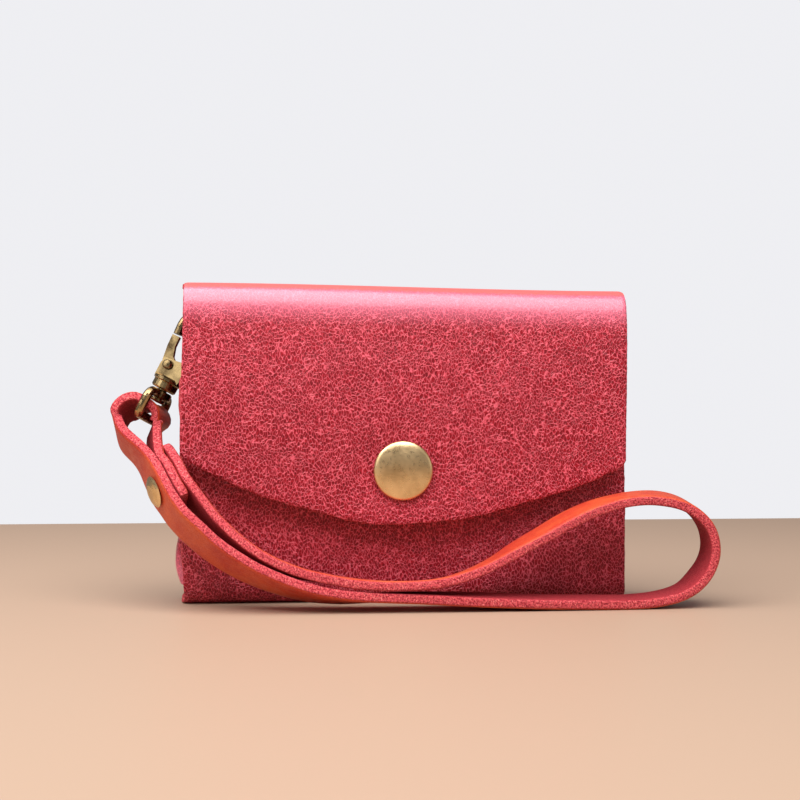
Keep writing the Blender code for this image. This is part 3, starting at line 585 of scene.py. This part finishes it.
def ripple(points, scale, seed):
    """Smooth noise from -1 to 1 at each point."""
    return np.array([noise.noise(Vector(p) * scale + Vector((seed, 0.0, 0.0))) for p in points])


# ---------------------------------------------------------------- the wallet's leather

BODY_LEFT, BODY_RIGHT = -57.3, 56.6
FOLD_X = 54.8
FLAP_PATH = ((-1.5, 82.0), (-4.2, 82.05), (-7.0, 81.85), (-9.4, 81.15), (-11.2, 79.8), (-12.3, 77.7),
             (-12.95, 75.0), (-13.7, 69.0), (-14.5, 58.0), (-14.85, 46.0), (-14.85, 20.0))
BACK_PATH = ((-1.5, 82.0), (1.5, 82.05), (4.4, 81.9), (6.7, 81.1), (8.2, 79.6), (8.9, 77.4),
             (9.05, 74.0), (9.05, 60.0), (9.0, 40.0), (9.0, 20.0), (9.0, 8.0), (8.95, 4.6),
             (8.2, 2.1), (6.6, 0.6), (4.2, 0.0), (0.0, 0.0), (-4.2, 0.0), (-6.6, 0.6), (-8.2, 2.1),
             (-8.95, 4.6), (-9.0, 8.0), (-9.0, 20.0), (-9.0, 40.0), (-9.0, 60.0))
SNAP = (-1.8, 34.0)


def top_drop(x, z):
    """How much lower the top lies: the fold sits a little lower towards the right."""
    fall = 0.35 + 1.65 * step_up(x, -57.0, 57.0)
    return fall * step_up(z, 40.0, 80.0)


def flap_edge_z(x):
    """The height of the flap's cut edge, with small round corners."""
    left, right, lowest, middle = 37.2, 35.0, 20.5, -2.5
    reach = np.where(x < middle, middle + 57.4, 55.6 - middle)
    corner = np.where(x < middle, left, right)
    z = lowest + (corner - lowest) * np.abs((x - middle) / reach) ** 1.72
    near = np.minimum(np.abs(x + 57.4), np.abs(x - 55.6))
    return z + 1.3 * np.exp(-(near / 0.9) ** 1.4) + 0.22 * np.sin(x * 0.23 + 1.0) + 0.1 * np.sin(x * 0.9)


def flap_sheet(look):
    columns = graded(1.0, 0.008, (0.002, 0.005, 0.01, 0.016))
    u = -(columns - 0.5) * 2.0
    t = graded(1.0, 1 / 86, (0.0018, 0.0045, 0.009, 0.0145))
    count_r = len(t)
    grid = np.zeros((count_r, len(u), 3))
    flat = np.zeros((count_r, len(u), 2))
    dense = catmull(FLAP_PATH, 24)
    run = np.concatenate([[0.0], np.cumsum(np.linalg.norm(np.diff(dense, axis=0), axis=1))])
    for k, side in enumerate(u):
        x_low = 55.5 * side if side > 0 else 57.5 * side
        z_end = float(flap_edge_z(np.array(x_low)))
        end = np.interp(-z_end, -dense[:, 1], run)
        places = t * end
        y = np.interp(places, run, dense[:, 0])
        z = np.interp(places, run, dense[:, 1])
        low = step_up(82.0 - z, 0.0, 45.0)
        left = -56.6 - 0.9 * low
        right = 55.9 - 0.5 * low
        x = np.where(side < 0, -side * left, side * right)
        grid[:, k, 0] = x
        grid[:, k, 1] = y
        grid[:, k, 2] = z - top_drop(x, z)
        flat[:, k, 0] = x
        flat[:, k, 1] = places
    x, y, z = grid[..., 0], grid[..., 1], grid[..., 2]
    # the leather's slack: long low waves, a dent round the snap, the corners standing off a little
    slack = step_up(80.0 - z, 0.0, 14.0)
    waves = ripple(np.stack([x, 0 * x, z * 1.5], -1).reshape(-1, 3), 0.022, 3.0).reshape(x.shape)
    fine = ripple(np.stack([x, 0 * x, z], -1).reshape(-1, 3), 0.07, 9.0).reshape(x.shape)
    away = np.sqrt((x - SNAP[0]) ** 2 + (z - SNAP[1]) ** 2)
    dent = 0.5 * bell(away, 7.0, 5.0)
    corner = 0.7 * bell(x, -57.0, 16.0) * bell(z, 38.0, 12.0)
    corner = corner + 0.5 * bell(x, 56.0, 14.0) * bell(z, 36.0, 12.0)
    middle = 0.25 * bell(x, -2.0, 22.0) * bell(z, 21.0, 8.0)
    grid[..., 1] += slack * (0.45 * waves + 0.12 * fine) + dent + 0.6 * corner - middle
    piece = leather_sheet("leather_flap", grid, flat, look, seams=("top",), ragged=0.035, seed=4)
    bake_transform(piece)
    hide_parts("flap")
    return piece


def body_sheet(look):
    dense = catmull(BACK_PATH, 24)
    run = np.concatenate([[0.0], np.cumsum(np.linalg.norm(np.diff(dense, axis=0), axis=1))])
    length = run[-1]
    fine = [0.0, 0.5, 1.0, 1.6]
    places = np.concatenate([fine, np.arange(2.6, length - 2.0, 1.0), [length - 1.2, length - 0.5,
                                                                     length - 0.2, length]])
    columns = graded(1.0, 0.011, (0.0015, 0.004, 0.008, 0.013))
    y = np.interp(places, run, dense[:, 0])
    z = np.interp(places, run, dense[:, 1])
    grid = np.zeros((len(places), len(columns), 3))
    flat = np.zeros((len(places), len(columns), 2))
    front = (y < -6.0) & (places > 60.0)
    joined = (y > 6.0) & (z > 5.2) & (z < 55.8)
    for r in range(len(places)):
        left, right = BODY_LEFT, BODY_RIGHT
        if front[r]:
            ease = step_up(z[r], 3.0, 12.0)
            left = -57.0 + 0.2 * (1 - ease)
            right = 56.3
            corner = max(0.0, z[r] - 56.0)
            tuck = 4.0 - math.sqrt(max(0.0, 16.0 - corner ** 2))
            left, right = left + tuck, right - tuck
        elif joined[r]:
            left, right = -FOLD_X, FOLD_X
        wave = 0.12 * math.sin(places[r] * 0.31) + 0.07 * math.sin(places[r] * 0.83 + 2.0)
        wave = 0.0 if joined[r] else wave
        grid[r, :, 0] = left + wave + (right - left) * columns
        grid[r, :, 1] = y[r]
        grid[r, :, 2] = z[r]
        flat[r, :, 0] = grid[r, :, 0]
        flat[r, :, 1] = -places[r]
    x, height = grid[..., 0], grid[..., 2].copy()
    upper = places[:, None] < 60.0
    grid[..., 2] -= np.where(upper, top_drop(x, height), 0.0)
    spots = np.stack([x, 0 * x, height * 1.4], -1).reshape(-1, 3)
    waves = ripple(spots, 0.02, 21.0).reshape(x.shape)
    on_back = grid[..., 1] > 8.0
    inside = step_up(54.0 - np.abs(x), 0.0, 14.0)
    slack = step_up(height, 4.0, 16.0) * (1 - step_up(height, 72.0, 80.0))
    grid[..., 1] += np.where(on_back, (0.3 * waves - 0.3) * inside, 0.0) * slack
    on_front = front[:, None] & (height > 4.0)
    grid[..., 1] += np.where(on_front, 0.15 * waves - 0.1, 0.0) * step_up(height, 4.0, 14.0)
    # the left edge of the front was cut at a slant, so its raw face shows
    slant = np.where(on_front, step_up(height, 4.0, 34.0), 0.0) * np.exp(-(x + 57.2) ** 2 / 1.2)
    shift = np.zeros(grid.shape)
    shift[..., 0] = -1.0 * slant
    piece = leather_sheet("leather_body", grid, flat, look, seams=("top",), ragged=0.04, seed=7,
                          inner_shift=shift, joined=joined)
    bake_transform(piece)
    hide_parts("back_panel", "bottom_fold", "front_panel", "top_strip")
    return piece


def gusset_sheet(name, node, side, tab_y, bulge, look, seed):
    """A side wall with its front tab; it goes on from the back's edge and bulges out low down."""
    heights = np.concatenate([[5.0, 5.15, 5.4, 5.9], np.arange(7.0, 55.0, 1.1), [55.2, 55.6, 55.85, 56.0]])
    outs = np.interp(np.linspace(5.0, 56.0, 205), [5, 8, 12, 15, 19, 25, 34, 41, 48, 56],
                     [0.5, 1.4, 2.0, 1.9, 1.2, 0.7, 0.7, 1.0, 0.6, 0.2])
    outs = np.convolve(np.pad(outs, 8, mode="edge"), np.ones(17) / 17, mode="valid")
    wall = (57.0 if side > 0 else 57.2) + bulge * np.interp(heights, np.linspace(5.0, 56.0, 205), outs)
    inner = 7.0
    rows = []
    flats = []
    for z, w in zip(heights, wall):
        path = [(FOLD_X, 9.02), (FOLD_X + 1.1, 8.9), (56.8, 8.2), (57.25, 6.9), (0.5 * (57.2 + w), 4.2),
                (w, 0.6), (w, -3.0), (w - 0.1, tab_y + 1.4), (w - 0.7, tab_y + 0.25), (w - 2.2, tab_y),
                (52.0, tab_y), (37.0, tab_y), (-inner, tab_y)]
        span = curve_length(path)
        places = np.concatenate([[0.0, 0.2, 0.5, 1.0], np.linspace(1.6, 24.0, 44),
                                 np.linspace(26.0, span - 1.0, 22), span - np.array([0.6, 0.3, 0.12, 0.0])])
        points, _ = along_curve(path, places)
        rows.append(np.stack([side * points[:, 0], points[:, 1], 0 * places + z], -1))
        flats.append(np.stack([side * (FOLD_X + places), 0 * places - z], -1))
    grid, flat = np.array(rows)[::-1], np.array(flats)[::-1]
    # the top edge slopes down from the back to the front
    y = grid[..., 1]
    top = 42.0 + 14.0 * step_up(y, -6.5, 7.5)
    share = (grid[..., 2] - 5.0) / 51.0
    grid[..., 2] = 5.0 + share * (top - 5.0)
    flat[..., 1] = -grid[..., 2]
    soft = step_up(y, tab_y + 0.6, tab_y + 3.0) * (1 - step_up(y, 5.0, 8.0))
    waves = ripple(np.stack([0 * y, y, grid[..., 2]], -1).reshape(-1, 3), 0.12, seed).reshape(y.shape)
    grid[..., 0] += side * 0.15 * waves * soft
    if side < 0:
        grid, flat = grid[:, ::-1], flat[:, ::-1]
    seam = "right" if side < 0 else "left"
    piece = leather_sheet(name, grid, flat, look, seams=(seam,), ragged=0.04, seed=seed)
    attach(piece, "wallet")
    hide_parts(node)
    return piece


# ---------------------------------------------------------------- the strap

def strap_route():
    """Middle points and across directions along the whole strap, finely spaced."""
    leg = np.array([place for place, _ in OUTER_LEG])
    leg_sides = np.array([side for _, side in OUTER_LEG])
    dense, dense_sides = catmull(leg, 2), catmull(leg_sides, 2)
    along = unit(np.gradient(dense, axis=0))

    def layer(index, step):
        across = dense_sides[index] - dense_sides[index].dot(along[index]) * along[index]
        normal = np.cross(unit(across), along[index])
        return dense[index] - step * normal, dense_sides[index]

    tail = [layer(i, LAYER_STEP) for i in range(18, 9, -2)]
    far_tail = [layer(i, 2 * LAYER_STEP) for i in (16, 14, 12, 10, 9)]
    turn = [(np.array(EYE_BAR) + place, np.array(side)) for place, side in EYE_TURN]
    rest = [(np.array(place), np.array(side)) for place, side in OUTER_LEG + LOWER_RUN + UPPER_LEG]
    course = tail + turn + rest + far_tail
    points = catmull([p for p, _ in course], 10)
    sides = catmull([s for _, s in course], 10)
    run = np.concatenate([[0.0], np.cumsum(np.linalg.norm(np.diff(points, axis=0), axis=1))])
    spots = np.linspace(0.0, run[-1], int(run[-1] / 0.75))
    points = np.stack([np.interp(spots, run, points[:, k]) for k in range(3)], -1)
    sides = np.stack([np.interp(spots, run, sides[:, k]) for k in range(3)], -1)
    for _ in range(2):
        points[1:-1] = (points[:-2] + 2 * points[1:-1] + points[2:]) / 4
    return points, unit(sides), spots


def strap_section():
    """The strip's cross-section: across, depth and how deep each point is, 0 at the grain."""
    half, deep = STRAP_WIDTH / 2, STRAP_LEATHER / 2
    across = np.linspace(-half + 1.4, half - 1.4, 16)
    rows = [(a, deep, 0.0) for a in across]
    rows += [(half - 0.8, deep - 0.02, 0.0), (half - 0.35, deep - 0.12, 0.0)]
    rows.append((half - 0.12, deep - 0.32, 0.04))
    for depth in (0.25, 0.4, 0.55, 0.7, 0.85):
        rows.append((half + 0.05 * math.sin(math.pi * depth), deep - depth * 2 * deep, depth))
    rows += [(half - 0.2, -deep + 0.08, 0.96), (half - 0.7, -deep, 1.0)]
    rows += [(a, -deep, 1.0) for a in across[::-1]]
    rows += [(-half + 0.7, -deep, 1.0), (-half + 0.2, -deep + 0.08, 0.96)]
    for depth in (0.85, 0.7, 0.55, 0.4, 0.25):
        rows.append((-half - 0.05 * math.sin(math.pi * depth), deep - depth * 2 * deep, depth))
    rows.append((-half + 0.12, deep - 0.32, 0.04))
    rows += [(-half + 0.35, deep - 0.12, 0.0), (-half + 0.8, deep - 0.02, 0.0)]
    return rows


def strap_sheet(look):
    points, sides, spots = strap_route()
    along = unit(np.gradient(points, axis=0))
    across = unit(sides - (sides * along).sum(1, keepdims=True) * along)
    # the grain faces outwards: across x along
    normal = np.cross(across, along)
    section = strap_section()
    random = np.random.default_rng(11)
    count, ring = len(points), len(section)
    wander = ripple(np.stack([spots, 0 * spots, 0 * spots], -1), 0.05, 5.0)
    cloud = np.zeros((count, ring, 3))
    flat = np.zeros((count, ring, 3))
    for k, (a, depth_at, depth) in enumerate(section):
        raw = 0.04 * random.normal(0, 1, count) if 0.1 < depth < 0.95 else 0.0 * spots
        slow = 0.12 * ripple(np.stack([spots, 0 * spots + math.copysign(9, a), 0 * spots], -1), 0.12, 2.0)
        push = np.sign(a) * (raw + slow * abs(a) / 6.0)
        cloud[:, k] = points + (a + push)[:, None] * across + depth_at * normal
        flat[:, k] = np.stack([spots, a + 0 * spots, depth + 0 * spots], 1)
    cloud += (0.10 * wander)[:, None, None] * normal[:, None, :]
    # the ends are square, cut and a little rounded
    for end, step in ((0, 1), (count - 1, -1)):
        for k, inset in enumerate((0.18, 0.05)):
            i = end + step * k
            middle = points[i] + 0.0
            offset = cloud[i] - middle
            cloud[i] = middle + offset * (1 - inset * 0.35)
    size = count * ring
    index = np.arange(size).reshape(count, ring)
    faces = []
    for k in range(ring):
        j = (k + 1) % ring
        faces.append(np.stack([index[:-1, k], index[:-1, j], index[1:, j], index[1:, k]], 1))
    faces = [list(map(int, f)) for f in np.concatenate(faces)]
    faces.append([int(v) for v in index[0][::-1]])
    faces.append([int(v) for v in index[-1]])
    piece = make_piece("wrist_strap_leather", cloud.reshape(-1, 3), faces, look, flat.reshape(-1, 3))
    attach(piece, "strap")
    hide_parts("wrist_strap")
    return piece


# ---------------------------------------------------------------- metal

def snap_cap_piece(look):
    """The cap's shallow dome, with its rolled rim and the post that goes into the flap."""
    profile = [(0.0, -1.9), (2.0, -1.9), (2.05, -1.7), (2.05, 0.05), (6.2, 0.0), (6.9, 0.02), (7.25, 0.12)]
    profile += [(7.45, 0.32), (7.5, 0.55), (7.42, 0.78), (7.2, 0.96), (6.85, 1.12)]
    profile += [(r, 1.12 + 0.78 * (1 - (r / 6.85) ** 2) ** 0.85) for r in np.linspace(6.4, 0.4, 16)]
    profile.append((0.0, 1.9))
    piece = lathe("snap_cap_dome", profile, (SNAP[0], -14.72, SNAP[1]), (0, -1, 0), look, 96)
    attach(piece, "cover")
    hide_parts("snap_cap")
    return piece


def dress_node(node, look):
    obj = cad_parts[node]
    obj.data.materials.clear()
    obj.data.materials.append(look)


# ---------------------------------------------------------------- the whole

def looks():
    raw = {"edge": colour(0.66, 0.085, 0.095), "edge_pit": colour(0.26, 0.010, 0.020)}
    # the wallet's pit and ridge tones are painted shade in the grain's pits and a painted highlight on its
    # ridges; the fold's salmon and pale pink are painted sheen and a painted highlight
    wallet = leather_material(
        "pebbled_wallet_leather", base=colour(0.34, 0.005, 0.015), pit_shade=colour(0.15, 0.001, 0.006),
        ridge=colour(0.72, 0.11, 0.15), worn=colour(0.41, 0.009, 0.022),
        flesh=colour(0.42, 0.035, 0.04), depth_mm=0.17, coarse=1.3, roughness=(0.30, 0.42),
        fold_wear_and_sheen=0.8, **raw)
    # the strap's pit and ridge tones are painted shade and a painted highlight too, applied more weakly
    strap_tones = {"base": colour(0.60, 0.085, 0.026), "pit_shade": colour(0.42, 0.025, 0.012),
                   "ridge": colour(0.68, 0.14, 0.05), "worn": colour(0.46, 0.028, 0.016),
                   "flesh": colour(0.42, 0.035, 0.04), "roughness": (0.36, 0.5), "painted_grain_light": 0.35}
    strap = leather_material("strap_leather", depth_mm=0.035, coarse=1.5, **strap_tones, **raw)
    tab = leather_material("tab_leather", depth_mm=0.035, coarse=1.5, source="object",
                           **strap_tones, **raw)
    brass = brass_material("antique_brass", bright=(0.42, 0.30, 0.14), dark=(0.07, 0.045, 0.022),
                           wear=(0.30, 0.62), roughness=(0.18, 0.30))
    cap = brass_material("brushed_cap_brass", bright=(0.80, 0.58, 0.30), dark=(0.50, 0.34, 0.16),
                         wear=(0.2, 0.75), roughness=(0.26, 0.36), brushed=(0.25, 1.0, 3.0))
    steel = brass_material("spring_steel", bright=(0.6, 0.6, 0.6), dark=(0.25, 0.25, 0.25))
    return wallet, strap, tab, brass, cap, steel


def build():
    wallet, strap, tab, brass, cap, steel = looks()
    pieces = {
        "wallet_leather": [
            flap_sheet(wallet),
            body_sheet(wallet),
            gusset_sheet("leather_left_gusset", "left_gusset", -1, -7.2, 1.0, wallet, 31),
            gusset_sheet("leather_right_gusset", "right_gusset", 1, -5.4, 0.4, wallet, 37),
        ],
        "strap_leather": [strap_sheet(strap)],
        "antique_brass": [snap_cap_piece(cap)],
    }
    dress_node("d_ring_tab", tab)
    dress_node("gate_spring", steel)
    for node in ("snap_socket", "snap_stud", "snap_post", "d_ring", "tab_rivet_post",
                 "clasp_body", "clasp_gate", "gate_pin", "swivel_pin", "swivel_eye"):
        dress_node(node, brass)
    for node in ("strap_rivet_cap", "strap_rivet_base", "tab_rivet_cap"):
        dress_node(node, cap)


make_camera()
make_stage()
build()
